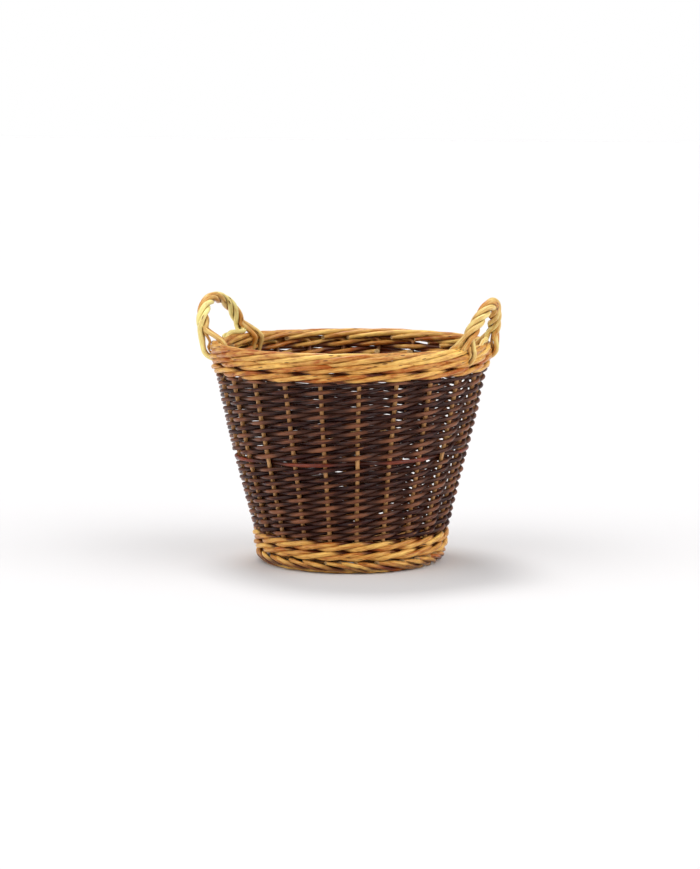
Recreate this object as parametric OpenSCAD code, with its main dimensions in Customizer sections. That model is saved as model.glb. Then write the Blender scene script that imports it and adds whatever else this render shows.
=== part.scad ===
// Round log basket of willow rods, stake and strand work.
// The foot stands on z = 0, +Z is up, and the two ear handles lie on -X and +X.
// Every rod is drawn as a four-sided strand along its own path through the weave.

/* [Size] */
// Outside diameter of the rim, over the border
rim_outer_d = 450; // [400:5:500]
// Diameter of the ring of stakes where they leave the foot
foot_ring_d = 288; // [270:1:300]
// Diameter of the ring of stakes at the top of the bottom wale
wale_ring_d = 295; // [280:1:320]
// Number of stakes in the wall
stake_count = 22; // [18:1:24]
// Angle of the first stake from the handle, in degrees
stake_turn_angle = 2.2; // [0:0.1:4]

/* [Heights of the bands] */
// Height of the foot border
foot_h = 22; // [21:0.5:26]
// Height of the bottom wale
bottom_wale_h = 30; // [24:1:34]
// Height of the lower band of brown siding
lower_rand_h = 123; // [90:1:150]
// Height of the single reddish round between the two bands
middle_h = 7; // [5:0.5:9]
// Height of the upper band of brown siding
upper_rand_h = 126; // [90:1:150]
// Height of the top wale
top_wale_h = 24; // [20:1:28]

/* [Rods] */
// Thickness of a stake
stake_t = 6.4; // [5:0.1:7.5]
// Thickness of the siding rods, measured across the wall
siding_t = 6; // [4.5:0.1:7]
// Layers of rod in each band of siding
siding_layers = 18; // [14:1:22]
// Thickness of the bottom wale's rods across the wall
bottom_wale_t = 7; // [5:0.1:8]
// Thickness of the top wale's rods across the wall
top_wale_t = 6; // [4.5:0.1:7]
// Clear space between neighbouring rods
clearance = 0.3; // [0.2:0.05:0.5]

/* [Borders] */
// Thickness of the rolled top border
border_t = 20.8; // [18:0.2:24]
// Thickness of a stake's turned-down end in the border
border_rod_t = 7; // [6:0.1:7.4]
// Number of rods in the foot border
foot_rod_count = 33; // [30:1:35]
// Thickness of a rod in the foot border
foot_rod_t = 7; // [6:0.1:7.2]

/* [Base] */
// Thickness of the six base sticks
stick_t = 8; // [6:0.5:10]
// Thickness of the base weaving rods
base_rod_t = 5.4; // [4:0.2:6.5]
// Radius of the first round of base weaving
base_first_r = 40; // [34:1:50]

/* [Handles] */
// Distance between the two legs of a handle
handle_span = 140; // [100:2:150]
// Height of a handle's top above the border's top
handle_rise = 75; // [60:1:95]
// Lean of a handle outwards, in degrees
handle_lean = 12; // [8:1:20]
// Thickness of the bow inside a handle
bow_t = 4.4; // [4:0.2:6]
// Thickness of the rods roped round the bow
wrap_t = 6.6; // [5:0.2:7]
// Turns that each roped rod makes round the bow
wrap_turns = 2; // [1:1:3]

/* [Hidden] */
pitch_a = 360 / stake_count;
wrap_count = 4;
stick_count = 6;
wale_rod_count = 3;
wale_round_count = 2;
wale_start_share = 0.27;
wale_start = round(stake_count * wale_start_share);
half_turn_a = 180;
round_facets = 96;
rod_facets = 24;
straight_share = 1e-6;

bottom_wale_z = foot_h;
bottom_wale_lay = bottom_wale_h / (wale_round_count * 2);
lower_rand_z = bottom_wale_z + bottom_wale_h;
middle_z = lower_rand_z + lower_rand_h;
upper_rand_z = middle_z + middle_h;
top_wale_z = upper_rand_z + upper_rand_h;
wall_top_z = top_wale_z + top_wale_h;

border_r = border_t / 2;
border_z = wall_top_z + clearance + border_r;
border_ring_r = rim_outer_d / 2 - border_r;
border_helix_r = border_r - border_rod_t / 2;
border_step_a = 65.5;
border_step_count = 9;
stake_top_z = border_z - border_helix_r;
wale_height_share = 0.84;
siding_off = stake_t / 2 + siding_t / 2 + clearance * 2;
siding_height_share = 0.97;

base_z = bottom_wale_z + bottom_wale_lay / 2 - stake_t / 2 - clearance;

foot_rod_r = foot_rod_t / 2;
foot_top_z = base_z - stake_t / 2 - clearance;
foot_first_a = 90;
foot_step_a = -84;
foot_ring_count = 7;
foot_low_sin = sin(foot_first_a + 2 * foot_step_a);
foot_cut = foot_rod_t / 14;
foot_helix_r = (foot_top_z + foot_cut - foot_rod_t) / (sin(foot_first_a) - foot_low_sin);
foot_ring_r = foot_ring_d / 2 + stake_t / 2;

base_edge_r = foot_ring_d / 2 - stake_t - clearance;
base_row_pitch = base_rod_t + clearance;
base_rows = floor((base_edge_r - base_first_r) / base_row_pitch);
stick_gap = stick_t + clearance;
fan_step_a = half_turn_a / stick_count;
stick_reach_r = base_edge_r - stake_t;

bow_r = bow_t / 2;
bow_half = handle_span / 2;
bow_step_a = 15;
bow_shares = [0.7, 1];
wrap_r = wrap_t / 2;
wrap_first_a = 45;
rings_per_turn = 6;
wrap_ring_r = (bow_r + wrap_r + clearance) / cos(half_turn_a / rings_per_turn);
rim_top_z = border_z + border_r;
bow_top_z = rim_top_z + handle_rise - wrap_ring_r - wrap_r;
bow_rim_off = border_r + bow_r + clearance * 2;
bow_foot_r = border_ring_r + bow_rim_off;
roped_z = rim_top_z + wrap_ring_r + wrap_r;
roped_a = asin((roped_z - rim_top_z) / (bow_top_z - rim_top_z));
wrap_rings = rings_per_turn * wrap_turns;
wrap_rim_off = border_r + wrap_r + clearance * 2;
wrap_tuck_off = stake_t / 2 + top_wale_t + wrap_r + clearance * 4;
outer_rim_angles = [-36, 0];
inner_rim_angles = [0, 45, 90];
tuck_z = wall_top_z - top_wale_h / 4;

function two_digits(i) = i < 10 ? str("0", i) : str(i);
function stake_name(i) = str("stake_", two_digits(i));
function stick_name(i) = str("base_stick_", i);
function bottom_wale_name(i) = str("bottom_wale_rod_", i);
function top_wale_name(i) = str("top_wale_rod_", i);
function wrap_name(side, i) = str("handle_wrap_", side, "_", i);

// Places on the basket

function polar(r, a, z) = [r * cos(a), r * sin(a), z];
function stake_a(s) = s * pitch_a - stake_turn_angle;
function stake_r(z) = lookup(z, [
    [foot_h, foot_ring_d / 2],
    [lower_rand_z, wale_ring_d / 2],
    [stake_top_z, border_ring_r]
]);
function mod3(v) = v - 3 * floor(v / 3);

// A rod: a closed strand swept along a path, with mitred bends

function unit(v) = v / norm(v);
function step(path, i) = unit(path[i + 1] - path[i]);
function step_in(path, i) = step(path, max(i - 1, 0));
function step_out(path, i) = step(path, min(i, len(path) - 2));
function heading(path, i) = unit(step_in(path, i) + step_out(path, i));
function outward(p) = unit([p[0], p[1], 0]);
function square_to(v, t) = unit(v - t * (v * t));
function mitre(q, d0, d1) =
    let (turn = d1 - d0, size = norm(turn))
    size < straight_share ? q : q + turn / size * (q * turn / size) * (1 / sqrt((1 + d0 * d1) / 2) - 1);
function facing(path, i, ref) =
    is_undef(ref) ? outward(path[i]) : is_list(ref[0]) ? ref[i] : ref;
function ring(path, i, w, h, sides, ref) =
    let (
        t = heading(path, i),
        n = square_to(facing(path, i, ref), t),
        b = cross(t, n)
    )
    [for (k = [0:sides - 1])
        let (a = k * 360 / sides)
        path[i] + mitre(n * w * cos(a) + b * h * sin(a), step_in(path, i), step_out(path, i))];

// share is 1, or a list with one share of the full thickness for each point of the path
// ref is the way that the section's first corner faces: outward, one vector, or one a point
module rod(path, w, h, sides = 4, ref = undef, share = 1) {
    rings = len(path);
    last = (rings - 1) * sides;
    points = [for (i = [0:rings - 1])
        let (s = is_list(share) ? share[i] : share)
        each ring(path, i, w * s, h * s, sides, ref)];
    walls = [for (i = [0:rings - 2], k = [0:sides - 1])
        let (a = i * sides + k, b = i * sides + (k + 1) % sides)
        each [[a, b + sides, b], [a, a + sides, b + sides]]];
    caps = [for (k = [1:sides - 2])
        each [[0, k, k + 1], [last, last + k + 1, last + k]]];
    polyhedron(points, concat(walls, caps));
}

// Stakes: from the base, up the wall, then rolled down to the right as the border

function stick_end_a(s) = round(stake_a(s) / fan_step_a) * fan_step_a;
function stake_side(s) = stake_a(s) < stick_end_a(s) ? -1 : 1;
function beside_stick(s, r, share) =
    let (
        near_a = asin((stick_t / 2 + stake_t / 2 + clearance * 2) / r),
        far_a = abs(stake_a(s) - stick_end_a(s)) * share
    )
    polar(r, stick_end_a(s) + stake_side(s) * max(near_a, far_a), base_z);
function border_point(s, x) =
    let (a = -90 + border_step_a * x)
    polar(border_ring_r + border_helix_r * cos(a), stake_a(s + x), border_z + border_helix_r * sin(a));
function stake_path(s) = concat(
    [beside_stick(s, base_edge_r * 3 / 4, 0), beside_stick(s, stick_reach_r, 0.6)],
    [polar(stake_r(base_z), stake_a(s), base_z)],
    [polar(stake_r(lower_rand_z), stake_a(s), lower_rand_z)],
    [for (k = [0:border_step_count]) border_point(s, k / 2)]
);

// Under the base a stake runs outwards, so there its section faces down
function stake_facings(path) =
    [for (p = path) norm([p[0], p[1]]) < base_edge_r ? [0, 0, -1] : outward(p)];

module stake(i) {
    path = stake_path(i - 1);
    color("peru") rod(path, stake_t / 2, stake_t / 2, ref = stake_facings(path));
}

// Base: six sticks in two crossed sets of three, fanned out, with rounds of twined rods

function stick_path(i) =
    let (
        set = i <= stick_count / 2 ? 0 : 1,
        lane = (i - 1) % (stick_count / 2) - 1,
        fan = lane * fan_step_a,
        lift = (set == 0 ? -1 : 1) * (stick_t + clearance) / 2,
        cross_r = stick_gap * 2,
        fan_r = base_first_r - base_rod_t
    )
    [for (p = [
        [-stick_reach_r, 1, 0], [-fan_r, 1, 0], [-cross_r, 0, 1],
        [cross_r, 0, 1], [fan_r, 1, 0], [stick_reach_r, 1, 0]
    ])
        let (
            side = sign(p[0]),
            flat = p[1] == 1
                ? polar(p[0], side * fan, 0)
                : [p[0], lane * stick_gap, 0],
            q = [flat[0], p[1] == 1 ? abs(p[0]) * sin(fan) : flat[1], base_z + lift * p[2]]
        )
        set == 0 ? q : [-q[1], q[0], q[2]]];

module base_stick(i) {
    color("burlywood") rod(stick_path(i), stick_t / 2, stick_t / 2, ref = [0, 0, 1]);
}

module base_round(k, side) {
    translate([0, 0, base_z + side * (stick_t / 2 + base_rod_t / 2 + clearance)])
        rotate_extrude($fn = round_facets)
            translate([base_first_r + k * base_row_pitch, 0])
                circle(d = base_rod_t, $fn = rod_facets);
}

module base_weave() {
    color("goldenrod")
    for (k = [0:base_rows - 1], side = [-1, 1])
        base_round(k, side);
}

// Foot border: short thick rods, each rolled down to the right from a cut end

function foot_point(i, x) =
    let (a = foot_first_a + foot_step_a * x)
    polar(
        foot_ring_r + foot_helix_r * cos(a),
        (i + x) * 360 / foot_rod_count - stake_turn_angle,
        foot_rod_r - foot_cut + foot_helix_r * (sin(a) - foot_low_sin)
    );

module foot_rod(i) {
    difference() {
        rod(
            [for (k = [0:foot_ring_count - 1]) foot_point(i, k / 2)],
            foot_rod_r, foot_rod_r
        );
        translate([-rim_outer_d / 2, -rim_outer_d / 2, -foot_h])
            cube([rim_outer_d, rim_outer_d, foot_h]);
    }
}

module foot_border() {
    color("goldenrod")
    for (i = [0:foot_rod_count - 1])
        foot_rod(i);
}

// Wales: three rods, each in front of two stakes and behind one

function wale_level(u) =
    min(max((u - (stake_count - wale_rod_count)) / wale_rod_count, 0), 1) * 2;
function wale_ring(u, off, layer, z0, lay_h) =
    let (z = z0 + lay_h * min(layer + wale_level(u), wale_round_count * 2 - 0.5))
    polar(stake_r(z) + off, stake_a(u + wale_start), z);
function wale_step(u, phase, off, z0, lay_h) =
    phase == 0 ? [wale_ring(u, -off, 1, z0, lay_h), wale_ring(u + 0.5, 0, 0.5, z0, lay_h)]
    : phase == 1 ? [wale_ring(u, off, 0.5, z0, lay_h)]
    : [wale_ring(u, off, 1.5, z0, lay_h), wale_ring(u + 0.5, 0, 1.5, z0, lay_h)];

// First and last of the stakes that a wale's rod j passes, counted on through the rounds
function wale_first(j) = -min(j, 1);
function wale_last(j) = wale_round_count * stake_count - 2 - floor(j / 2);
function wale_path(j, off, z0, lay_h) =
    let (
        first = wale_first(j),
        last = wale_last(j),
        steps = [for (u = [first:last]) each wale_step(u, mod3(u - j), off, z0, lay_h)],
        open_end = mod3(last - j) == 0
    )
    concat(
        mod3(first - j) == 1 ? [wale_ring(first - 0.5, 0, 0.5, z0, lay_h)] : [],
        open_end ? [for (i = [0:len(steps) - 2]) steps[i]] : steps
    );

module wale_rod(i, z0, band_h, thick) {
    lay_h = band_h / (wale_round_count * 2);
    off = stake_t / 2 + thick / 2 + clearance * 2;
    rod(wale_path(i - 1, off, z0, lay_h), thick / 2, (lay_h - clearance) / 2 * wale_height_share);
}

module bottom_wale_rod(i) {
    color("goldenrod") wale_rod(i, bottom_wale_z, bottom_wale_h, bottom_wale_t);
}

module top_wale_rod(i) {
    color("goldenrod") wale_rod(i, top_wale_z, top_wale_h, top_wale_t);
}

// Siding: a rod starts at every stake and climbs one layer a stake, in front of one, behind the next

module siding_rod(s, z0, band_h) {
    lay_h = band_h / siding_layers;
    rod(
        [for (k = [0:siding_layers - 1])
            let (z = z0 + lay_h * (k + 0.5))
            polar(stake_r(z) + (k % 2 == 0 ? -siding_off : siding_off), stake_a(s + k), z)],
        siding_t / 2, (lay_h - clearance) / 2 * siding_height_share
    );
}

module siding(z0, band_h) {
    for (s = [0:stake_count - 1])
        siding_rod(s, z0, band_h);
}

module lower_siding() {
    color("saddlebrown") siding(lower_rand_z, lower_rand_h);
}

module upper_siding() {
    color("saddlebrown") siding(upper_rand_z, upper_rand_h);
}

module middle_round() {
    z = middle_z + middle_h / 2;
    color("sienna")
    rod(
        [for (u = [0:stake_count - 1])
            let (off = mod3(u) == 0 ? -siding_off : siding_off)
            polar(stake_r(z) + off, stake_a(u + wale_start), z)],
        siding_t / 2, (middle_h - clearance) / 2
    );
}

// Handles: a bow whose ends clasp the border from outside, with four rods roped round it

// Place at radius r that lies y along the rim from the handle's middle
function rim_place(r, y, z) = [sqrt(r * r - y * y), y, z];
// Place on the handle's own leaning plane: y along the rim, z up, out square to the plane
function lean_point(y, z, out) =
    rim_place(bow_foot_r, bow_half, z) + [
        (z - border_z) * tan(handle_lean) + out * cos(handle_lean),
        y - bow_half,
        -out * sin(handle_lean)
    ];
function bow_point(t, out, grow) = lean_point(
    -(bow_half + grow) * cos(t),
    rim_top_z + (bow_top_z - rim_top_z + grow) * sin(t),
    out
);
// Place beside the border, off from its middle and turned by q from level; out is 1 outside, -1 inside
function beside_rim(off, q, out, y) =
    rim_place(border_ring_r + out * off * cos(q), y, border_z + off * sin(q));
function bow_leg(side) = [for (q = outer_rim_angles) beside_rim(bow_rim_off, q, 1, side * bow_half)];
function backward(list) = [for (i = [len(list) - 1:-1:0]) list[i]];
function bow_path() = concat(
    bow_leg(-1), [for (t = [0:bow_step_a:half_turn_a]) bow_point(t, 0, 0)], backward(bow_leg(1))
);
function bow_share_list() = concat(
    bow_shares, [for (t = [0:bow_step_a:half_turn_a]) 1], backward(bow_shares)
);

module handle_bow() {
    rod(bow_path(), bow_r, bow_r, sides = 6, ref = [1, 0, 0], share = bow_share_list());
}

function wrap_point(i, k) =
    let (
        t = roped_a + (half_turn_a - 2 * roped_a) * k / wrap_rings,
        turn = wrap_first_a + 360 / wrap_count * (i - 1) - 360 * wrap_turns * k / wrap_rings
    )
    bow_point(t, wrap_ring_r * cos(turn), wrap_ring_r * sin(turn));
// Rods 1 and 4 clasp the border from outside, 2 and 3 go over it; 1 and 2 lie on the far side of the leg
function wrap_tail(i, side) =
    let (
        outside = i == 1 || i == wrap_count,
        apart = wrap_r + bow_r + clearance * 2,
        y = side * (bow_half + (i <= wrap_count / 2 ? apart : -apart))
    )
    outside
        ? [for (q = outer_rim_angles) beside_rim(wrap_rim_off, q, 1, y)]
        : concat(
            [rim_place(stake_r(tuck_z) - wrap_tuck_off, y, tuck_z)],
            [for (q = inner_rim_angles) beside_rim(wrap_rim_off, q, -1, y)]
        );
function wrap_path(i) = concat(
    wrap_tail(i, -1), [for (k = [0:wrap_rings]) wrap_point(i, k)], backward(wrap_tail(i, 1))
);

module handle_wrap(i) {
    rod(wrap_path(i), wrap_r, wrap_r, ref = [1, 0, 0]);
}

module on_side(side) {
    rotate([0, 0, side == "left" ? half_turn_a : 0]) children();
}

for (i = [1:stake_count]) stake(i);
for (i = [1:stick_count]) base_stick(i);
base_weave();
foot_border();
for (i = [1:wale_rod_count]) bottom_wale_rod(i);
lower_siding();
middle_round();
upper_siding();
for (i = [1:wale_rod_count]) top_wale_rod(i);
for (side = ["left", "right"])
    on_side(side) color("peru") handle_bow();
for (side = ["left", "right"], i = [1:wrap_count])
    on_side(side) color("goldenrod") handle_wrap(i);
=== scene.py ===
"""A round log basket of willow, each rod of its weave a strand of its own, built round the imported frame."""

import math
import random

import bmesh
import bpy
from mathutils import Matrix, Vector, kdtree


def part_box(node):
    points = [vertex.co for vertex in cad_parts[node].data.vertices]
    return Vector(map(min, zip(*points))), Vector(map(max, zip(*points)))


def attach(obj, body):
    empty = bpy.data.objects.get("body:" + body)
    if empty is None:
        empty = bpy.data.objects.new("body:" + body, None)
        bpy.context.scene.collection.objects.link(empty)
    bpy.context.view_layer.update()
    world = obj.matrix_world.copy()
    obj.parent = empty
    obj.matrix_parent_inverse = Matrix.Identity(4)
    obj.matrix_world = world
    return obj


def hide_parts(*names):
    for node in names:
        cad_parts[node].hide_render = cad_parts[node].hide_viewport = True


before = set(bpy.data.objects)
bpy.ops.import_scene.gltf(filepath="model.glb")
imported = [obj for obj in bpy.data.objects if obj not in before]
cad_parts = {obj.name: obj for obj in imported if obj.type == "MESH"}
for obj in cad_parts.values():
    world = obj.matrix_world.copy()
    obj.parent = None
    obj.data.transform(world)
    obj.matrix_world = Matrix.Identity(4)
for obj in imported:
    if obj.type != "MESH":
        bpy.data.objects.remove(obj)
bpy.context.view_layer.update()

# Places, in metres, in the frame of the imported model
STAKES = 22
PITCH = math.tau / STAKES
FIRST_STAKE_A = math.radians(-2.2)
WALL_PROFILE = ((0.022, 0.144), (0.052, 0.1475), (0.3358, 0.2146))
WALL_BULGE = 0.002
WALL_HALF_T = 0.0105
BOTTOM_WALE = (0.022, 0.052)
TOP_WALE = (0.309, 0.3368)
BORDER_Z = 0.3435
BORDER_RING_R = 0.2146
BORDER_R = 0.0106
RIM_TOP = BORDER_Z + BORDER_R
FOOT_RODS = 33
FOOT_RING_R = 0.1466
FOOT_TOP = 0.0205
FOOT_TUCK = 0.0095

# The base: its height, its sticks and its weaving
STICKS = 6
BASE_Z = 0.0223
BASE_TOP = 0.031
BASE_HALF_T = 0.0095
STICK_END_R = 0.131
STICK_FAN_R = 0.0346
STICK_CROSS_R = 0.0166
STICK_LANE = 0.0083
STICK_LIFT = 0.0041
TIE_R = 0.0205
TIE_HALF_W = 0.0105
TIE_TURNS = 2
WEAVE_FIRST_R = 0.0385
WEAVE_LAST_R = 0.133
WEAVE_ROUNDS = 17

# The stake at which the middle round and the wales start
ROUND_START = 6

# A stake's way: where its butt lies in the base, how it bends up there, as radius and rise, and its heights
STAKE_BUTT_AT = 0.103
STAKE_BEND = ((0.1415, 0.0012), (0.1452, 0.01))
STAKE_HEIGHTS = (0.045, 0.075, 0.12, 0.17, 0.22, 0.27, 0.31)

# The heights between which a stake goes from golden to a painted highlight, paler and pinker, where it stands
# in the siding
STAKE_PAINTED_HIGHLIGHT = (0.322, 0.312)

# How far each band of siding is pressed past its CAD box, and how far its layer next to the middle round
# leans over that where the round goes behind a stake
SIDING_PRESS = 0.0013
SIDING_LEAN = 0.0016

# How the rods roll round the border and the foot: degrees from one rod to the next, how many rods on they
# reach, where and how fast a rod of the border tapers, and how far the border hangs at its foot
BORDER_ROLL = 65.5
BORDER_REACH = 4.95
BORDER_TAPER = (3.5, 0.18)
BORDER_SAG = 0.3
FOOT_FIRST_A = 92
FOOT_ROLL = 63
FOOT_REACH = (3.2, 3.7)

# Thicknesses of the rods: half of each, in metres
STAKE_R = 0.0033
BORDER_ROD_R = 0.0042
SIDING_BUTT_R = 0.0035
SIDING_TIP_R = 0.003
MIDDLE_R = 0.003
BOTTOM_WALE_R = 0.0039
TOP_WALE_R = 0.0038
FOOT_ROD_R = 0.0036
BASE_STICK_R = 0.004
BASE_ROD_R = 0.0028
BOW_R = 0.0026
WRAP_R = 0.004

# Each handle: half of the space between its legs, its height over the rim, its lean out, its sway along
# the rim, how square its arch is, how loosely it is roped, and how far out each leg stands at the rim
HANDLES = {
    "left": {"half": 0.0715, "rise": 0.063, "lean": math.radians(13), "sway": 0.006, "square": 0.03,
             "ring": 0.0055, "feet": (0.2145, 0.2195)},
    "right": {"half": 0.0645, "rise": 0.0645, "lean": math.radians(21.5), "sway": -0.0085, "square": -0.1,
              "ring": 0.006, "feet": (0.2085, 0.2125)},
}

# The ends of the four roped rods at each leg: how far off the rim they stand, how far they are spread, and
# the way each goes: over the border to the inside, down outside it, along its top, or into it
TAILS = {
    ("left", -1): (0.0, 0.002, ("along", "along", "over", "over")),
    ("left", 1): (0.007, 0.002, ("down", "down", "over", "over")),
    ("right", -1): (0.002, 0.003, ("into", "down", "over", "over")),
    ("right", 1): (0.003, 0.002, ("down", "down", "along", "over")),
}

# The rope of four rods: its turns round the bow, its knots, and its start as a share of the arch's height
WRAP_TURNS = 2
WRAP_KNOTS = 36
ROPED_SHARE = 0.24

# How a willow rod grows and is cut
BUD_GAP = 0.034
BUD_LENGTH = 0.004
BUD_SWELL = 0.07
WOBBLE = 0.00025
WOBBLE_LENGTH = 0.021
CUT_EDGE = math.radians(50)
CUT_ROUND = 0.0004

# Length of a mesh's step along a rod, the finer the more the rod bends
BASE_GAP = 0.0066
ROD_GAP = 0.0048
STAKE_GAP = 0.0042
FINE_GAP = 0.0036
ROPE_GAP = 0.003
BOW_LINE_GAP = 0.002

# What counts as one place, and as one plane
SAME_PLACE = 1e-6
SAME_PLANE = 1e-5

# The camera that took the photograph: radians, metres and, for the lens, millimetres
CAMERA_AZIMUTH = math.radians(18.9)
CAMERA_DISTANCE = 4.2454
CAMERA_HEIGHT = 0.7628
CAMERA_PITCH = math.radians(7.53)
CAMERA_LENS = 110.3
CAMERA_SHIFT = -0.0009

# The studio's light: a soft fill from all round, a broad soft box at each side of the camera, each a
# direction and a strength, and a sun
FILL = 0.4
SOFTBOXES = (((-0.72, -0.69, 0.8), 1.9), ((0.99, -0.11, 0.7), 2.3))
SOFTBOX_EDGE = 0.75
SUN_SIDE = (-0.59, 0.8)
SUN_RISE = math.radians(70)
SUN_SPREAD = math.radians(20)
SUN_POWER = 1.4
FLOOR_SIZE = 30

# What a maker's hand does to the basket: how far the weaving climbs on the right of the picture and drops
# on the left at each height, how far the wall is turned, how far it is from round, and the height above
# which both of these are full
HAND_LIFT = ((0.05, 0.0), (0.178, 0.006), (0.31, 0.003), (0.342, 0.0))
HAND_TURN = 0.007
HAND_OVAL = 0.0045
HAND_HEIGHT = 0.18


# Places on the basket

def eased(x, steps):
    """Value at x of a smooth line through the steps, each a place and a value."""
    for (x0, v0), (x1, v1) in zip(steps, steps[1:]):
        if x < x1:
            t = max((x - x0) / (x1 - x0), 0)
            return v0 + (v1 - v0) * t * t * (3 - 2 * t)
    return steps[-1][1]


def profile(z):
    """Radius of the ring of stakes at height z."""
    (z0, r0), (z1, r1), (z2, r2) = WALL_PROFILE
    if z < z1:
        return r0 + (r1 - r0) * (z - z0) / (z1 - z0)
    share = (min(z, z2) - z1) / (z2 - z1)
    return r1 + (r2 - r1) * share + WALL_BULGE * math.sin(math.pi * share)


def polar(radius, angle, z, thick=0.0):
    return Vector((radius * math.cos(angle), radius * math.sin(angle), z, thick))


def stake_angle(s):
    return FIRST_STAKE_A + s * PITCH


def on_wall(s, off, z, thick):
    return polar(profile(z) + off, stake_angle(s), z, thick)


def by_hand(knot):
    """Moves a knot a little, as a hand-made basket is never quite round or level."""
    angle = math.atan2(knot.y, knot.x)
    high = min(knot.z / HAND_HEIGHT, 1)
    turn = HAND_TURN * math.sin(3 * angle + 9 * knot.z) * high
    grow = 1 + HAND_OVAL * math.sin(2 * angle + 0.8) * high
    lift = eased(knot.z, HAND_LIFT) * math.cos(angle - CAMERA_AZIMUTH)
    c, s = math.cos(turn), math.sin(turn)
    x, y = knot.x * c - knot.y * s, knot.x * s + knot.y * c
    return Vector((x * grow, y * grow, knot.z + lift, knot.w))


def stands_out(spot):
    """How far a spot stands out of the weave: 0 deep between the rods, where dust and painted shade go, 1
    where hands and logs chafe it and a painted highlight goes.
    """
    radius = math.hypot(spot.x, spot.y)
    if spot.z > BORDER_Z - BORDER_R:
        off = math.hypot(radius - BORDER_RING_R, spot.z - BORDER_Z) / BORDER_R
    elif spot.z > BASE_TOP:
        off = abs(radius - profile(spot.z)) / WALL_HALF_T
    elif radius > FOOT_RING_R - FOOT_TOP / 2:
        off = math.hypot(radius - FOOT_RING_R, spot.z - FOOT_TOP / 2) / (FOOT_TOP / 2)
    else:
        off = abs(spot.z - BASE_Z) / BASE_HALF_T
    return min(off, 1)


# Rods

def through(knots, gap):
    """A smooth line through the knots, as points about gap apart."""
    ends = [knots[0] * 2 - knots[1], *knots, knots[-1] * 2 - knots[-2]]
    line = []
    for a, b, c, d in zip(ends, ends[1:], ends[2:], ends[3:]):
        count = max(2, round((c - b).length / gap))
        for i in range(count):
            t = i / count
            line.append((b * 2 + (c - a) * t + (a * 2 - b * 5 + c * 4 - d) * t ** 2
                         + (b * 3 - a - c * 3 + d) * t ** 3) / 2)
    return line + [knots[-1].copy()]


def grown(line, rng):
    """Gives a line the buds and small bends of a willow rod."""
    bud = rng.uniform(0, BUD_GAP)
    along = 0.0
    phase = rng.uniform(0, math.tau)
    shaped = [line[0]]
    for before, point in zip(line, line[1:]):
        along += (point - before).length
        swell = math.exp(-(((along - bud) / BUD_LENGTH) ** 2))
        if along > bud + BUD_GAP / 3:
            bud += BUD_GAP * rng.uniform(0.7, 1.4)
        sway = WOBBLE * math.sin(along / WOBBLE_LENGTH + phase)
        thick = point.w * (1 + BUD_SWELL * swell)
        shaped.append(Vector((point.x + sway, point.y - sway, point.z + sway / 2, thick)))
    return shaped


def strand(line, resolution):
    """One rod as a mesh: a bevelled curve with its own thickness at each point."""
    curve = bpy.data.curves.new("strand", "CURVE")
    curve.dimensions = "3D"
    curve.bevel_depth = 1
    curve.bevel_resolution = resolution
    curve.use_fill_caps = True
    spline = curve.splines.new("POLY")
    spline.points.add(len(line) - 1)
    for point, knot in zip(spline.points, line):
        point.co = (*knot.xyz, 1)
        point.radius = knot.w
    holder = bpy.data.objects.new("strand", curve)
    mesh = bpy.data.meshes.new_from_object(holder)
    bpy.data.objects.remove(holder)
    bpy.data.curves.remove(curve)
    return mesh


def cut_aslant(verts, end, inner, slope):
    """Slopes the cut at a rod's end, to face out of the basket, or into it where slope is below zero."""
    along = (end - inner).xyz.normalized()
    facing = Vector((end.x, end.y, 0)).normalized() * slope
    for vert in verts:
        side = vert.co - end.xyz
        if side.length < end.w * 1.2 and abs(side.dot(along)) < SAME_PLANE:
            vert.co -= along * side.dot(facing)


def add_rod(shape, line, resolution, tone, value, slant):
    """Adds one rod to a shape, with its length in metres along its UV map."""
    mesh = strand(line, resolution)
    first = len(shape.verts)
    first_face = len(shape.faces)
    shape.from_mesh(mesh)
    bpy.data.meshes.remove(mesh)
    shape.verts.ensure_lookup_table()
    shape.faces.ensure_lookup_table()
    verts = shape.verts[first:]
    for end, inner, slope in ((line[0], line[1], slant[0]), (line[-1], line[-2], slant[1])):
        if slope:
            cut_aslant(verts, end, inner, slope)
    for vert in verts:
        vert[tone] = value
    length = sum((b - a).length for a, b in zip(line, line[1:]))
    marks = shape.loops.layers.uv.active
    for face in shape.faces[first_face:]:
        face.smooth = True
        for loop in face.loops:
            loop[marks].uv.x *= length


def round_ends(shape, pith):
    """Gives each cut end a worn edge and a face that runs in to the pith."""
    fans = [face for face in shape.faces if len(face.verts) == 3]
    ends = bmesh.ops.dissolve_faces(shape, faces=fans, use_verts=False)["region"]
    for face in ends:
        face.material_index = 1
        face.smooth = False
    bmesh.ops.inset_individual(shape, faces=ends, thickness=CUT_ROUND, depth=CUT_ROUND / 2)
    for vert in bmesh.ops.poke(shape, faces=ends)["verts"]:
        vert[pith] = 1


def put(name, data):
    """Puts an object that holds the data into the scene."""
    thing = bpy.data.objects.new(name, data)
    bpy.context.scene.collection.objects.link(thing)
    return thing


def put_mesh(name, shape):
    mesh = bpy.data.meshes.new(name)
    shape.to_mesh(mesh)
    shape.free()
    return put(name, mesh)


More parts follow.
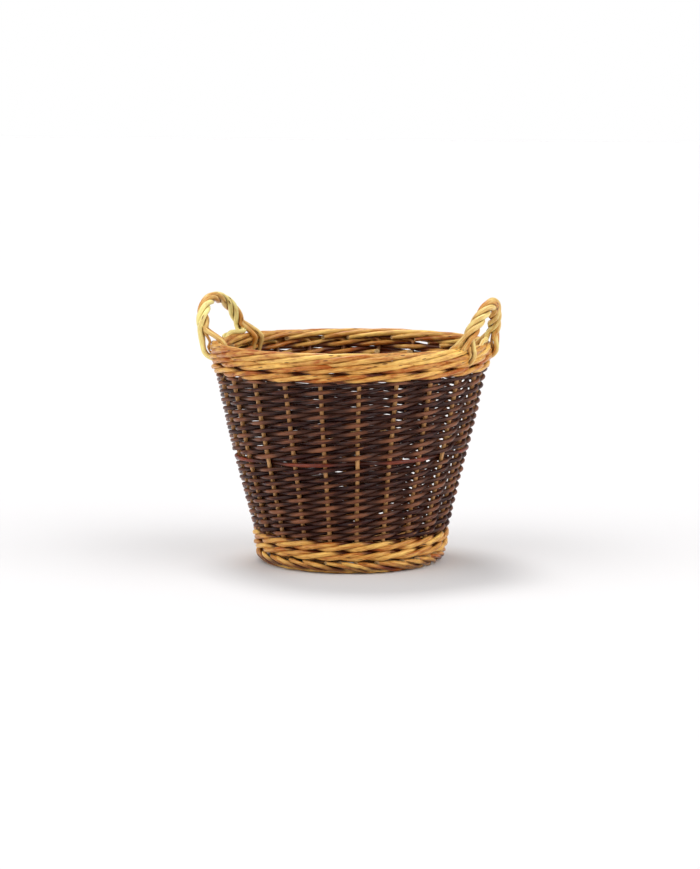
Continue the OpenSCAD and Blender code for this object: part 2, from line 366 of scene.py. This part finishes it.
def willow(node, rods, skin, resolution=4, gap=ROD_GAP, hand=True, slant=(0, 0),
           proudness=stands_out):
    """The rods of one node, each a list of knots with half its thickness as the fourth number."""
    name = f"willow_{node}"
    rng = random.Random(name)
    shape = bmesh.new()
    tone = shape.verts.layers.float.new("rod_tone")
    pith = shape.verts.layers.float.new("pith")
    proud = shape.verts.layers.float.new("stand_out")
    for knots in rods:
        if hand:
            knots = [by_hand(k) for k in knots]
        add_rod(shape, grown(through(knots, gap), rng), resolution, tone, rng.random(), slant)
    bmesh.ops.remove_doubles(shape, verts=shape.verts, dist=SAME_PLACE)
    round_ends(shape, pith)
    for vert in shape.verts:
        vert[proud] = proudness(vert.co)
    for edge in shape.edges:
        if len(edge.link_faces) == 2 and edge.calc_face_angle() > CUT_EDGE:
            edge.smooth = False
    piece = put_mesh(name, shape)
    piece.data.materials.append(skin)
    piece.data.materials.append(CUT)
    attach(piece, "root")
    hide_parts(node)


# Materials

def paint(red, green, blue):
    """A colour as it looks on a screen, from 0 to 255, as Blender's shaders take it."""
    return (*((c / 255) ** 2.2 for c in (red, green, blue)), 1)


def feed(tree, socket, value):
    """Links a socket to another, or sets it to a value."""
    if isinstance(value, bpy.types.NodeSocket):
        tree.links.new(value, socket)
    else:
        socket.default_value = value


def place(tree, kind, inputs=None, **settings):
    """Adds a node, and feeds its inputs."""
    node = tree.nodes.new(kind)
    for key, value in settings.items():
        setattr(node, key, value)
    for key, value in (inputs or {}).items():
        feed(tree, node.inputs[key], value)
    return node


def maths(tree, operation, *values):
    return place(tree, "ShaderNodeMath", dict(enumerate(values)), operation=operation).outputs[0]


def blend(tree, share, under, over):
    """Lays one colour over another by share."""
    node = place(tree, "ShaderNodeMix", data_type="RGBA", clamp_factor=True)
    for label, value in (("Factor_Float", share), ("A_Color", under), ("B_Color", over)):
        feed(tree, next(s for s in node.inputs if s.identifier == label), value)
    return next(s for s in node.outputs if s.identifier == "Result_Color")


def ramp(tree, value, low, high, to_low=0.0, to_high=1.0):
    """Turns low to high into a smooth 0 to 1, or into the two values given."""
    inputs = {"Value": value, "From Min": low, "From Max": high, "To Min": to_low, "To Max": to_high}
    return place(tree, "ShaderNodeMapRange", inputs, interpolation_type="SMOOTHSTEP").outputs["Result"]


def stretched(tree, vector, stretch):
    return place(tree, "ShaderNodeVectorMath", {0: vector, 1: stretch}, operation="MULTIPLY").outputs[0]


def noise(tree, vector, stretch, detail=2.0, rough=0.5):
    inputs = {"Vector": stretched(tree, vector, stretch), "Scale": 1.0, "Detail": detail, "Roughness": rough}
    return place(tree, "ShaderNodeTexNoise", inputs).outputs["Fac"]


def group(name, inputs, outputs):
    """An empty node group with its sockets, and its input and output nodes."""
    tree = bpy.data.node_groups.new(name, "ShaderNodeTree")
    for label, kind, value in inputs:
        tree.interface.new_socket(label, in_out="INPUT", socket_type=kind).default_value = value
    for label, kind in outputs:
        tree.interface.new_socket(label, in_out="OUTPUT", socket_type=kind)
    return tree, tree.nodes.new("NodeGroupInput").outputs, tree.nodes.new("NodeGroupOutput").inputs


COLOUR = "NodeSocketColor"
FLOAT = "NodeSocketFloat"
GREY = (0.5, 0.5, 0.5, 1)


def rod_grain():
    """Streaks, mottling, pores and bud scars along a rod, read from its UV map."""
    inputs = (("Pale", COLOUR, GREY), ("Deep", COLOUR, GREY), ("Scar", COLOUR, GREY), ("Spread", FLOAT, 0.5),
              ("Streaks", FLOAT, 1.0), ("Mottle", FLOAT, 1.0), ("Roughness", FLOAT, 0.4))
    outputs = (("Color", COLOUR), ("Roughness", FLOAT), ("Height", FLOAT))
    tree, given, made = group("rod_grain", inputs, outputs)
    marks = place(tree, "ShaderNodeSeparateXYZ", {0: place(tree, "ShaderNodeTexCoord").outputs["UV"]})
    tone = place(tree, "ShaderNodeAttribute", attribute_name="rod_tone").outputs["Fac"]
    turn = maths(tree, "MULTIPLY", marks.outputs["Y"], math.tau)
    skin_r = 0.0035
    across = place(tree, "ShaderNodeCombineXYZ", {
        "X": maths(tree, "MULTIPLY_ADD", tone, 9.7, marks.outputs["X"]),
        "Y": maths(tree, "MULTIPLY", maths(tree, "COSINE", turn), skin_r),
        "Z": maths(tree, "MULTIPLY", maths(tree, "SINE", turn), skin_r),
    }).outputs[0]
    streak = noise(tree, across, (55, 620, 620), 3)
    mottle = noise(tree, across, (42, 130, 130), 4, 0.6)
    pore = noise(tree, across, (700, 1500, 1500))
    cells = {"Vector": stretched(tree, across, (34, 190, 190)), "Scale": 1.0}
    scar = ramp(tree, place(tree, "ShaderNodeTexVoronoi", cells).outputs["Distance"], 0.2, 0.1)
    parts = [
        maths(tree, "MULTIPLY", maths(tree, "SUBTRACT", streak, 0.5), given["Streaks"]),
        maths(tree, "MULTIPLY", maths(tree, "SUBTRACT", mottle, 0.5), given["Mottle"]),
        maths(tree, "MULTIPLY", maths(tree, "SUBTRACT", tone, 0.5), given["Spread"]),
    ]
    share = maths(tree, "ADD", maths(tree, "ADD", parts[0], parts[1]), maths(tree, "ADD", parts[2], 0.5))
    skin = blend(tree, share, given["Deep"], given["Pale"])
    tree.links.new(blend(tree, scar, skin, given["Scar"]), made["Color"])
    dull = maths(tree, "MULTIPLY_ADD", maths(tree, "SUBTRACT", mottle, 0.5), 0.5, given["Roughness"])
    tree.links.new(maths(tree, "MULTIPLY_ADD", pore, 0.08, dull), made["Roughness"])
    bumps = maths(tree, "MULTIPLY_ADD", pore, 0.35, streak)
    tree.links.new(maths(tree, "MULTIPLY_ADD", scar, 0.5, bumps), made["Height"])
    return tree


def weave_dust_and_painted_light():
    """Dust and painted shade down between the rods, and a worn look with a painted highlight where they stand
    out.
    """
    inputs = (("Color", COLOUR, GREY), ("Dust and painted shade", COLOUR, GREY), ("Worn and painted highlight", COLOUR, GREY),
              ("Amount", FLOAT, 0.8), ("Worn and highlight share", FLOAT, 0.2))
    tree, given, made = group("weave_dust_and_painted_light", inputs, (("Color", COLOUR),))
    proud = place(tree, "ShaderNodeAttribute", attribute_name="stand_out").outputs["Fac"]
    spot = noise(tree, place(tree, "ShaderNodeTexCoord").outputs["Object"], (45, 45, 45), 4, 0.6)
    edge = maths(tree, "MULTIPLY_ADD", maths(tree, "SUBTRACT", spot, 0.5), 0.7, proud)
    # Painted shade, with dust: darker where the rods stand least out, down between them
    deep = maths(tree, "MULTIPLY", ramp(tree, edge, 0.9, 0.3), given["Amount"])
    # Painted highlight, with a worn look: paler where the rods stand out most
    worn_highlight_mask = maths(tree, "MULTIPLY", ramp(tree, edge, 0.85, 1.15), given["Worn and highlight share"])
    dusty_and_shaded = blend(tree, deep, given["Color"], given["Dust and painted shade"])
    tree.links.new(blend(tree, worn_highlight_mask, dusty_and_shaded, given["Worn and painted highlight"]), made["Color"])
    return tree


GRAIN = rod_grain()
DUST_AND_PAINTED_LIGHT = weave_dust_and_painted_light()


def shader(name):
    material = bpy.data.materials.new(name)
    material.use_nodes = True
    tree = material.node_tree
    return material, tree, tree.nodes["Principled BSDF"]


def bumped(tree, height, distance):
    inputs = {"Height": height, "Distance": distance, "Strength": 0.8}
    return place(tree, "ShaderNodeBump", inputs).outputs["Normal"]


def bark(name, pale, deep, dust_and_shade_colour, rough, gloss, spread=0.8, streaks=1.6, mottle=1.4, scar=None, worn_and_highlight=0.15,
         dust_and_shade_share=0.8, shine=0.35):
    """A rod's skin: its own colours in the shared grain, and over it the shared dust and painted shade, and
    worn spots with a painted highlight.
    """
    material, tree, principled = shader(name)
    grain = place(tree, "ShaderNodeGroup", {
        "Pale": pale, "Deep": deep, "Scar": scar or dust_and_shade_colour, "Spread": spread, "Streaks": streaks,
        "Mottle": mottle, "Roughness": rough,
    }, node_tree=GRAIN)
    # Dust and painted shade between the rods, and worn spots with a painted highlight, laid over the grain
    dust_shade_and_highlight = place(tree, "ShaderNodeGroup", {
        "Color": grain.outputs["Color"], "Dust and painted shade": dust_and_shade_colour, "Worn and painted highlight": pale, "Amount": dust_and_shade_share, "Worn and highlight share": worn_and_highlight,
    }, node_tree=DUST_AND_PAINTED_LIGHT)
    tree.links.new(dust_shade_and_highlight.outputs["Color"], principled.inputs["Base Color"])
    tree.links.new(grain.outputs["Roughness"], principled.inputs["Roughness"])
    tree.links.new(bumped(tree, grain.outputs["Height"], 0.00035), principled.inputs["Normal"])
    principled.inputs["Specular IOR Level"].default_value = shine
    principled.inputs["Coat Weight"].default_value = gloss
    principled.inputs["Coat Roughness"].default_value = 0.22
    return material


def stake_bark():
    """The stakes: golden in the border, and with a painted highlight, paler and pinker, where they stand in
    the siding.
    """
    # Its third colour is dust and painted shade for down between the rods
    material = bark("stake_willow", paint(252, 208, 112), paint(166, 82, 14), paint(88, 34, 4), 0.34, 0.15)
    tree = material.node_tree
    principled = tree.nodes["Principled BSDF"]
    skin = principled.inputs["Base Color"].links[0].from_socket
    height = place(tree, "ShaderNodeSeparateXYZ", {0: place(tree, "ShaderNodeTexCoord").outputs["Object"]})
    low = ramp(tree, height.outputs["Z"], *STAKE_PAINTED_HIGHLIGHT)
    # Painted highlight: low on the stakes their colour is blended toward a pale pinkish tan
    shade = blend(tree, maths(tree, "MULTIPLY", low, 0.4), skin, paint(255, 190, 122))
    tree.links.new(shade, principled.inputs["Base Color"])
    return material


def cut_wood():
    """The pale wood of a cut end, with its rings and a brown pith."""
    material, tree, principled = shader("cut_willow")
    heart = place(tree, "ShaderNodeAttribute", attribute_name="pith").outputs["Fac"]
    spot = noise(tree, place(tree, "ShaderNodeTexCoord").outputs["Object"], (600, 600, 600), 3)
    ring = maths(tree, "SINE", maths(tree, "MULTIPLY", heart, 30))
    wood = blend(tree, spot, paint(236, 204, 148), paint(206, 160, 96))
    ringed = blend(tree, maths(tree, "MULTIPLY", ring, 0.25), wood, paint(170, 116, 60))
    middle = blend(tree, ramp(tree, heart, 0.72, 0.86), ringed, paint(112, 66, 30))
    tree.links.new(middle, principled.inputs["Base Color"])
    tree.links.new(ramp(tree, spot, 0.2, 0.8, 0.5, 0.8), principled.inputs["Roughness"])
    tree.links.new(bumped(tree, spot, 0.0003), principled.inputs["Normal"])
    return material


# Each bark's third colour is dust and painted shade for down between the rods
BUFF = bark("buff_willow", paint(251, 202, 108), paint(164, 78, 12), paint(82, 28, 2), 0.32, 0.12,
            dust_and_shade_share=0.95, shine=0.25)
STAKE = stake_bark()
HANDLE = bark("handle_willow", paint(248, 232, 150), paint(196, 122, 42), paint(90, 40, 6), 0.36, 0.12,
              dust_and_shade_share=0.95, shine=0.3)
BROWN = bark("brown_willow", paint(132, 82, 56), paint(54, 15, 4), paint(36, 7, 1), 0.3, 0.0,
             spread=1.2, streaks=2.2, mottle=2.0, scar=paint(140, 92, 56), worn_and_highlight=0.3, shine=0.25)
RED = bark("red_willow", paint(142, 60, 26), paint(82, 24, 8), paint(34, 10, 3), 0.34, 0.1,
           spread=0.3, mottle=2.4)
BASE = bark("base_willow", paint(212, 158, 86), paint(150, 96, 44), paint(70, 38, 16), 0.42, 0.15)
CUT = cut_wood()


# Stakes: out from the base, up the wall, and rolled down to the right as the border

def stick_angle(s):
    step = math.pi / STICKS
    return round(stake_angle(s) / step) * step


def beside_stick(s, radius, share):
    """Place of a stake beside the base stick nearest to it, share of the way to its own angle."""
    side = -1 if stake_angle(s) < stick_angle(s) else 1
    near = math.asin((BASE_STICK_R + STAKE_R + 0.0005) / radius)
    far = abs(stake_angle(s) - stick_angle(s)) * share
    return polar(radius, stick_angle(s) + side * max(near, far), BASE_Z, STAKE_R)


def border_knot(s, x, turn, roll, swell):
    """Place of a stake's end in the border, x stakes on from where it turns down."""
    a = math.radians(BORDER_ROLL * x - 90) + roll
    taper_from, taper = BORDER_TAPER
    thick = (STAKE_R + (BORDER_ROD_R - STAKE_R) * min(x, 1)) * (1 - taper * max(x - taper_from, 0))
    ring = (BORDER_R - BORDER_ROD_R) * (swell + BORDER_SAG * max(-math.sin(a), 0))
    radius = BORDER_RING_R + ring * math.cos(a)
    return polar(radius, stake_angle(s + x) + turn, BORDER_Z + ring * math.sin(a), thick)


def half_steps(reach):
    return [0.5 * k for k in range(int(reach * 2) + 1)] + [reach]


def stake_knots(s, rng):
    turn = rng.uniform(-0.014, 0.014)
    lean = rng.uniform(-0.006, 0.006)
    roll = rng.uniform(-0.1, 0.1)
    phase = rng.uniform(0, math.tau)
    base = [beside_stick(s, STAKE_BUTT_AT, 0), beside_stick(s, STICK_END_R, 0.6)]
    bend = [polar(radius, stake_angle(s), BASE_Z + rise, STAKE_R) for radius, rise in STAKE_BEND]
    wall = []
    for z in STAKE_HEIGHTS:
        wall.append(polar(profile(z), stake_angle(s) + lean * z / STAKE_HEIGHTS[-1], z, STAKE_R))
    reach = BORDER_REACH + rng.uniform(-0.35, 0.2)
    border = []
    for x in half_steps(reach):
        part = min(x, 1)
        wave = roll + 0.09 * math.sin(1.9 * x + phase)
        border.append(border_knot(s, x, turn * part + lean * (1 - part), wave * part,
                                  1 + 0.06 * math.sin(2.3 * x + phase * 2)))
    return base + bend + wall + border


def make_stakes():
    rng = random.Random("stakes")
    for i in range(STAKES):
        willow(f"stake_{i + 1:02d}", [stake_knots(i, rng)], STAKE, gap=STAKE_GAP,
               slant=(0, -1))


# Siding: a rod starts behind every stake and climbs one layer a stake

def siding_knots(s, low, high, layers, beside, rng):
    """One rod of siding; beside is the layer that leans in on the middle round where that goes behind."""
    lay = (high - low) / layers
    size = rng.uniform(0.93, 1.07)
    knots = []
    for k in range(layers):
        share = k / (layers - 1)
        thick = (SIDING_BUTT_R + (SIDING_TIP_R - SIDING_BUTT_R) * share) * size
        off = STAKE_R + thick * 0.95 + rng.uniform(-0.0002, 0.0004)
        z = low + lay * (k + 0.5) + rng.uniform(-0.0007, 0.0007)
        if (s + k) % 3 == 0 and k == beside:
            z += SIDING_LEAN if k > 1 else -SIDING_LEAN
        knots.append(on_wall(s + k, off if k % 2 else -off, z, thick))
    first_z = low + lay * 0.5
    last_z = high - lay * 0.5
    last_off = (STAKE_R + thick) * (0.3 if layers % 2 == 0 else -0.8)
    butt = on_wall(s - rng.uniform(0.25, 0.45), -STAKE_R - SIDING_BUTT_R, first_z, SIDING_BUTT_R * size)
    tip = on_wall(s + layers - 1 + rng.uniform(0.3, 0.45), last_off, last_z, thick * 0.9)
    return [butt, *knots, tip]


def make_siding(node, layers, beside):
    rng = random.Random(node)
    low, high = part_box(node)
    first, last = low.z - SIDING_PRESS, high.z + SIDING_PRESS
    rods = [siding_knots(s, first, last, layers, beside, rng) for s in range(STAKES)]
    willow(node, rods, BROWN, slant=(-1.4, -1))


def make_middle_round():
    low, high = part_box("middle_round")
    z = (low.z + high.z) / 2
    off = STAKE_R + MIDDLE_R
    knots = []
    for u in range(STAKES + 1):
        knots.append(on_wall(u + ROUND_START, -off if u % 3 == 0 else off, z, MIDDLE_R))
    willow("middle_round", [knots], RED)


# Wales: three rods, each in front of two stakes and behind one

def wale_knots(j, low, lay, thick):
    """Rod j of a wale of two rounds, which climbs two layers over the last three stakes of the first."""
    first = (0, -1, -1)[j]
    last = 2 * STAKES + (-2, -2, -3)[j]
    off = STAKE_R + thick

    def knot(u, out, layer):
        level = min(max((u - (STAKES - 3)) / 3, 0), 1) * 2
        z = low + lay * min(layer + level, 3.5)
        return polar(profile(z) + out, stake_angle(u + ROUND_START), z, thick)

    knots = []
    if (first - j) % 3 == 1:
        knots.append(knot(first - 0.5, 0, 0.5))
    for u in range(first, last + 1):
        phase = (u - j) % 3
        if phase == 0:
            knots.append(knot(u, -off, 1))
            if u < last:
                knots.append(knot(u + 0.5, 0, 0.5))
        elif phase == 1:
            knots.append(knot(u, off, 0.5))
            knots.append(knot(u + 0.5, off * 1.15, 1))
        else:
            knots.append(knot(u, off, 1.5))
            knots.append(knot(u + 0.5, 0, 1.5))
    return knots


def make_wale(prefix, span, thick):
    low, high = span
    for j in range(3):
        knots = wale_knots(j, low, (high - low) / 4, thick)
        willow(f"{prefix}_{j + 1}", [knots], BUFF, slant=(-1, -1))


# Foot border: short thick rods, each rolled down to the right from a cut end

def foot_knots(i, rng):
    start = rng.uniform(-0.3, 0.3)
    reach = rng.uniform(*FOOT_REACH)
    thick = FOOT_ROD_R * rng.uniform(0.9, 1.07)
    ring = FOOT_TOP / 2 - thick
    knots = []
    for x in half_steps(reach):
        a = math.radians(FOOT_FIRST_A - FOOT_ROLL * x)
        tuck = FOOT_TUCK * (1 - math.sin(a)) / 2
        angle = FIRST_STAKE_A + (i + start + x) * math.tau / FOOT_RODS
        radius = FOOT_RING_R - tuck + ring * math.cos(a)
        knots.append(polar(radius, angle, FOOT_TOP / 2 + ring * math.sin(a), thick * (1 - 0.03 * x)))
    return knots


def make_foot():
    rng = random.Random("foot")
    rods = [foot_knots(i, rng) for i in range(FOOT_RODS)]
    willow("foot_border", rods, BUFF, gap=FINE_GAP, slant=(1.2, -0.8))


# Base: six sticks crossed in two threes, tied round the cross, fanned out and woven

def stick_knots(i):
    across = i // 3
    lane = i % 3 - 1
    fan = lane * math.pi / STICKS
    lift = STICK_LIFT * (1 if across else -1)
    half = [
        polar(STICK_END_R, fan, BASE_Z, BASE_STICK_R),
        polar(STICK_FAN_R, fan, BASE_Z, BASE_STICK_R),
        Vector((STICK_CROSS_R, lane * STICK_LANE, BASE_Z + lift, BASE_STICK_R)),
    ]
    knots = [Vector((-k.x, k.y, k.z, k.w)) for k in half] + half[::-1]
    return [Vector((-k.y, k.x, k.z, k.w)) for k in knots] if across else knots


def tie_knots():
    """The rod tied round the cross, over one three of sticks and under the other."""
    knots = []
    for q in range(4 * TIE_TURNS + 1):
        side = 1 if q % 2 == 0 else -1
        out = TIE_R + BASE_ROD_R * 2 * q / 4
        for along in (-TIE_HALF_W, TIE_HALF_W):
            spot = Vector((out, along, BASE_Z + side * (BASE_STICK_R + BASE_ROD_R), BASE_ROD_R))
            angle = q * math.pi / 2
            c, s = math.cos(angle), math.sin(angle)
            knots.append(Vector((spot.x * c - spot.y * s, spot.x * s + spot.y * c, spot.z, spot.w)))
    return knots


def twined_knots(start):
    """One of the pair of rods twined outward round both halves of every stick."""
    ends = 2 * STICKS
    knots = []
    for u in range(WEAVE_ROUNDS * ends):
        radius = WEAVE_FIRST_R + (WEAVE_LAST_R - WEAVE_FIRST_R) * u / (WEAVE_ROUNDS * ends)
        side = 1 if (u + start) % 2 else -1
        z = BASE_Z + side * (BASE_STICK_R * 0.8 + BASE_ROD_R)
        knots.append(polar(radius, u * math.tau / ends, z, BASE_ROD_R))
    return knots


def make_base():
    for i in range(STICKS):
        willow(f"base_stick_{i + 1}", [stick_knots(i)], BASE, hand=False)
    rods = [twined_knots(0), twined_knots(1), tie_knots()]
    willow("base_weave", rods, BASE, resolution=3, gap=BASE_GAP, hand=False)


# Handles: a bow whose legs clasp the border, with four rods roped round it

def beside_rim(off, q, out, y, thick):
    """Place beside the border at q from level, y along the rim; out is 1 outside it and -1 inside."""
    radius = BORDER_RING_R + out * off * math.cos(q)
    return Vector((math.sqrt(radius ** 2 - y ** 2), y, BORDER_Z + off * math.sin(q), thick))


def in_wall(out, y, z, thick):
    """Place in the wall at height z, out from the ring of stakes, y along the rim."""
    return Vector((math.sqrt((profile(z) + out) ** 2 - y ** 2), y, z, thick))


def bow_knot(side, t, out, grow, thick):
    """Place at t round a handle's arch, out from the bow or grown away from the hand hole."""
    handle = HANDLES[side]
    size = 1 + handle["square"] * math.sin(2 * t) ** 2
    first, last = handle["feet"]
    high = (handle["rise"] * size + grow) * math.sin(t)
    lean = handle["lean"]
    x = first + (last - first) * (1 - math.cos(t)) / 2 + high * math.tan(lean)
    y = handle["sway"] * math.sin(t) - (handle["half"] * size + grow) * math.cos(t)
    return Vector((x + out * math.cos(lean), y, RIM_TOP + high - out * math.sin(lean), thick))


def bow_knots(side):
    half = HANDLES[side]["half"]

    def leg(end):
        y = end * half
        return [in_wall(0.004, y, 0.328, BOW_R * 0.5),
                beside_rim(BORDER_R + BOW_R * 0.6, math.radians(-40), 1, y, BOW_R * 0.6),
                beside_rim(BORDER_R + BOW_R * 0.8, 0, 1, y, BOW_R * 0.8),
                beside_rim(BORDER_R + BOW_R * 0.8, math.radians(40), 1, y, BOW_R * 0.9)]
    arch = [bow_knot(side, math.pi * i / 12, 0, 0, BOW_R) for i in range(1, 12)]
    return leg(-1) + arch + leg(1)[::-1]


def wrap_tail(side, i, end, rng):
    """The end of a roped rod, from its tip up to the leg."""
    stand, spread, ways = TAILS[side, end]
    way = ways[i]
    foot = end * HANDLES[side]["half"]
    off = BORDER_R + WRAP_R * 0.92
    if way == "along":
        q = math.radians(42 if i == 1 else 84)
        return [beside_rim(BORDER_R * 0.6, q, 1, foot - end * 0.07, WRAP_R * 0.6),
                beside_rim(off * 0.97, q, 1, foot - end * 0.052, WRAP_R * 0.9),
                beside_rim(off, q, 1, foot - end * 0.03, WRAP_R),
                beside_rim(off + 0.001, q, 1, foot - end * 0.01, WRAP_R)]
    apart = WRAP_R * (1.35 if way == "over" else 1.05) * (1 if i in (0, 3) else -1)
    fan = end * (math.copysign(rng.uniform(0.001, 0.003), apart) + spread)
    y = foot + end * apart
    if way == "down":
        return [in_wall(-0.004, y + fan, 0.3245, WRAP_R * 0.7),
                in_wall(0.009, y + fan, 0.3275, WRAP_R * 0.85),
                beside_rim(off + stand * 0.8, math.radians(-30), 1, y + fan * 0.8, WRAP_R * 0.95),
                beside_rim(off + stand, math.radians(4), 1, y + fan * 0.3, WRAP_R)]
    if way == "into":
        return [beside_rim(BORDER_R * 0.3, math.radians(50), 1, y + fan, WRAP_R * 0.8),
                beside_rim(off * 0.95, math.radians(52), 1, y + fan * 0.6, WRAP_R)]
    return [in_wall(-0.006, y + fan, 0.323, WRAP_R * 0.7),
            beside_rim(off, math.radians(-40), -1, y + fan, WRAP_R * 0.9),
            beside_rim(off, math.radians(12), -1, y + fan * 0.8, WRAP_R * 0.95),
            beside_rim(off, math.radians(70), -1, y + fan * 0.6, WRAP_R)]


def wrap_knots(side, i, rng):
    """One of the four rods roped round a bow, from its end at one leg to its end at the other."""
    start = math.asin(ROPED_SHARE)
    phase = rng.uniform(0, math.tau)
    rope = []
    for k in range(WRAP_KNOTS + 1):
        t = start + (math.pi - 2 * start) * k / WRAP_KNOTS
        a = math.pi / 4 - math.pi / 2 * i - math.tau * WRAP_TURNS * k / WRAP_KNOTS
        ring = HANDLES[side]["ring"] * (1 + 0.2 * math.cos(t) ** 2 + 0.05 * math.sin(9 * t + phase))
        thick = WRAP_R * (1 + 0.04 * math.sin(5 * t + phase))
        rope.append(bow_knot(side, t, ring * math.cos(a), ring * math.sin(a), thick))
    return wrap_tail(side, i, -1, rng) + rope + wrap_tail(side, i, 1, rng)[::-1]


def turned(knots, side):
    """The knots of a handle, turned half round to the left of the basket where it is the left one."""
    return knots if side == "right" else [Vector((-k.x, -k.y, k.z, k.w)) for k in knots]


def bow_line():
    """The lines of both bows, to tell how deep in its rope a place lies."""
    spots = [k.xyz for side in HANDLES for k in through(turned(bow_knots(side), side), BOW_LINE_GAP)]
    line = kdtree.KDTree(len(spots))
    for i, spot in enumerate(spots):
        line.insert(spot, i)
    line.balance()
    return line


def make_handles():
    line = bow_line()

    def off_bow(spot):
        return min(line.find(spot)[2] / (HANDLES["left"]["ring"] + WRAP_R), 1)

    for side in HANDLES:
        rng = random.Random(side)
        bow = turned(bow_knots(side), side)
        willow(f"handle_bow_{side}", [bow], HANDLE, gap=FINE_GAP)
        for i in range(4):
            rod = turned(wrap_knots(side, i, rng), side)
            willow(f"handle_wrap_{side}_{i + 1}", [rod], HANDLE, resolution=6,
                   gap=ROPE_GAP, proudness=off_bow)


make_stakes()
make_siding("lower_siding", layers=21, beside=19)
make_siding("upper_siding", layers=20, beside=1)
make_middle_round()
make_wale("bottom_wale_rod", BOTTOM_WALE, BOTTOM_WALE_R)
make_wale("top_wale_rod", TOP_WALE, TOP_WALE_R)
make_foot()
make_base()
make_handles()


# Floor, light and camera

def make_floor():
    shape = bmesh.new()
    bmesh.ops.create_grid(shape, x_segments=1, y_segments=1, size=FLOOR_SIZE)
    floor = put_mesh("floor", shape)
    material, _, principled = shader("pale_floor")
    principled.inputs["Base Color"].default_value = (0.75, 0.74, 0.745, 1)
    principled.inputs["Roughness"].default_value = 0.8
    floor.data.materials.append(material)


def make_studio():
    """A white backdrop, whose light comes mostly from the two soft boxes."""
    world = bpy.data.worlds.new("studio")
    bpy.context.scene.world = world
    world.use_nodes = True
    tree = world.node_tree
    gaze = place(tree, "ShaderNodeTexCoord").outputs["Generated"]
    lit = FILL
    for side, power in SOFTBOXES:
        inputs = {0: gaze, 1: Vector(side).normalized()}
        towards = place(tree, "ShaderNodeVectorMath", inputs, operation="DOT_PRODUCT").outputs["Value"]
        lit = maths(tree, "ADD", lit, ramp(tree, towards, SOFTBOX_EDGE, 1.0, 0.0, power))
    seen = place(tree, "ShaderNodeLightPath").outputs["Is Camera Ray"]
    strength = place(tree, "ShaderNodeMix", {"Factor": seen, "A": lit, "B": 1.0}).outputs["Result"]
    background = tree.nodes["Background"]
    background.inputs["Color"].default_value = (1, 1, 1, 1)
    tree.links.new(strength, background.inputs["Strength"])


def make_sun():
    """A soft sun, high up behind the basket."""
    light = bpy.data.lights.new("overhead", "SUN")
    light.energy = SUN_POWER
    light.angle = SUN_SPREAD
    towards = Vector((*SUN_SIDE, math.hypot(*SUN_SIDE) * math.tan(SUN_RISE)))
    put("overhead", light).rotation_euler = towards.to_track_quat("Z", "Y").to_euler()


def make_camera():
    data = bpy.data.cameras.new("camera")
    data.lens = CAMERA_LENS
    data.sensor_width = 36
    data.shift_x = CAMERA_SHIFT
    camera = put("camera", data)
    a = CAMERA_AZIMUTH
    camera.location = (CAMERA_DISTANCE * math.sin(a), -CAMERA_DISTANCE * math.cos(a), CAMERA_HEIGHT)
    camera.rotation_euler = (math.pi / 2 - CAMERA_PITCH, 0, a)
    bpy.context.scene.camera = camera


make_floor()
make_studio()
make_sun()
make_camera()
bpy.context.scene.view_settings.view_transform = "Standard"
